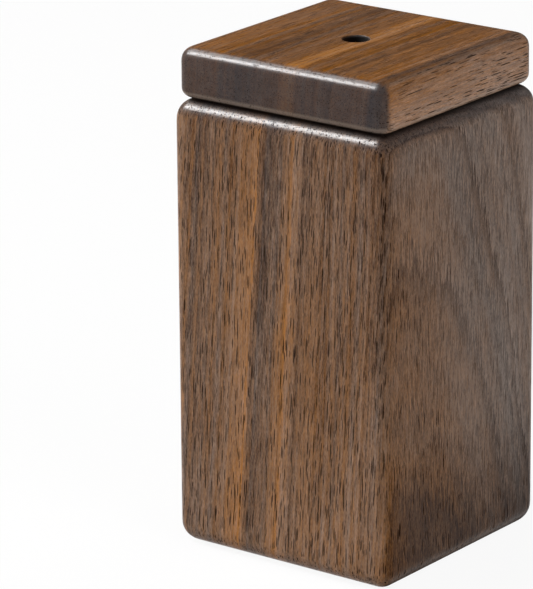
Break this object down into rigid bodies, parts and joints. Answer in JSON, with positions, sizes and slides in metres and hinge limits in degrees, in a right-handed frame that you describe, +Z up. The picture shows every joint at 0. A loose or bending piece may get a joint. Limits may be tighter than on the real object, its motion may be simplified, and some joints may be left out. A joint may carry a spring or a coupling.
{
  "type": "toothpick dispenser",
  "caption": "Square wooden toothpick holder with a lift-off magnetic lid and a small round outlet in its centre that lets one pick out at a time.",
  "frame": {"origin": "centre of the case's underside", "axes": "+Z up along the bore and the outlet, +X and +Y square to the case's faces; the lid's grain runs along Y"},
  "size_m": [0.045, 0.045, 0.0894],
  "materials": {
    "walnut_case": "satin oiled walnut, grain upright",
    "walnut_lid": "satin oiled walnut, grain front to back",
    "nickel_plate": "bright nickel plate",
    "bamboo": "plain turned bamboo"
  },
  "bodies": {
    "case": {"case": "walnut_case", "case_magnet_1": "nickel_plate", "case_magnet_2": "nickel_plate", "case_magnet_3": "nickel_plate", "case_magnet_4": "nickel_plate"},
    "lid": {"lid": "walnut_lid", "lid_magnet_1": "nickel_plate", "lid_magnet_2": "nickel_plate", "lid_magnet_3": "nickel_plate", "lid_magnet_4": "nickel_plate"},
    "next_toothpick": {"toothpick_1": "bamboo"},
    "stored_toothpicks": {"toothpick_2": "bamboo", "toothpick_3": "bamboo", "toothpick_4": "bamboo", "toothpick_5": "bamboo", "toothpick_6": "bamboo", "toothpick_7": "bamboo"}
  },
  "joints": [
    {"name": "lid_lift", "type": "slide", "parent": "case", "child": "lid", "axis": [0, 0, 1], "range_m": [0, 0.08]},
    {"name": "toothpick_dispense", "type": "slide", "parent": "case", "child": "next_toothpick", "axis": [0, 0, 1], "range_m": [0, 0.08]},
    {"name": "store_slide", "type": "slide", "parent": "case", "child": "stored_toothpicks", "axis": [0, 0, 1], "range_m": [0, 0.012]}
  ]
}
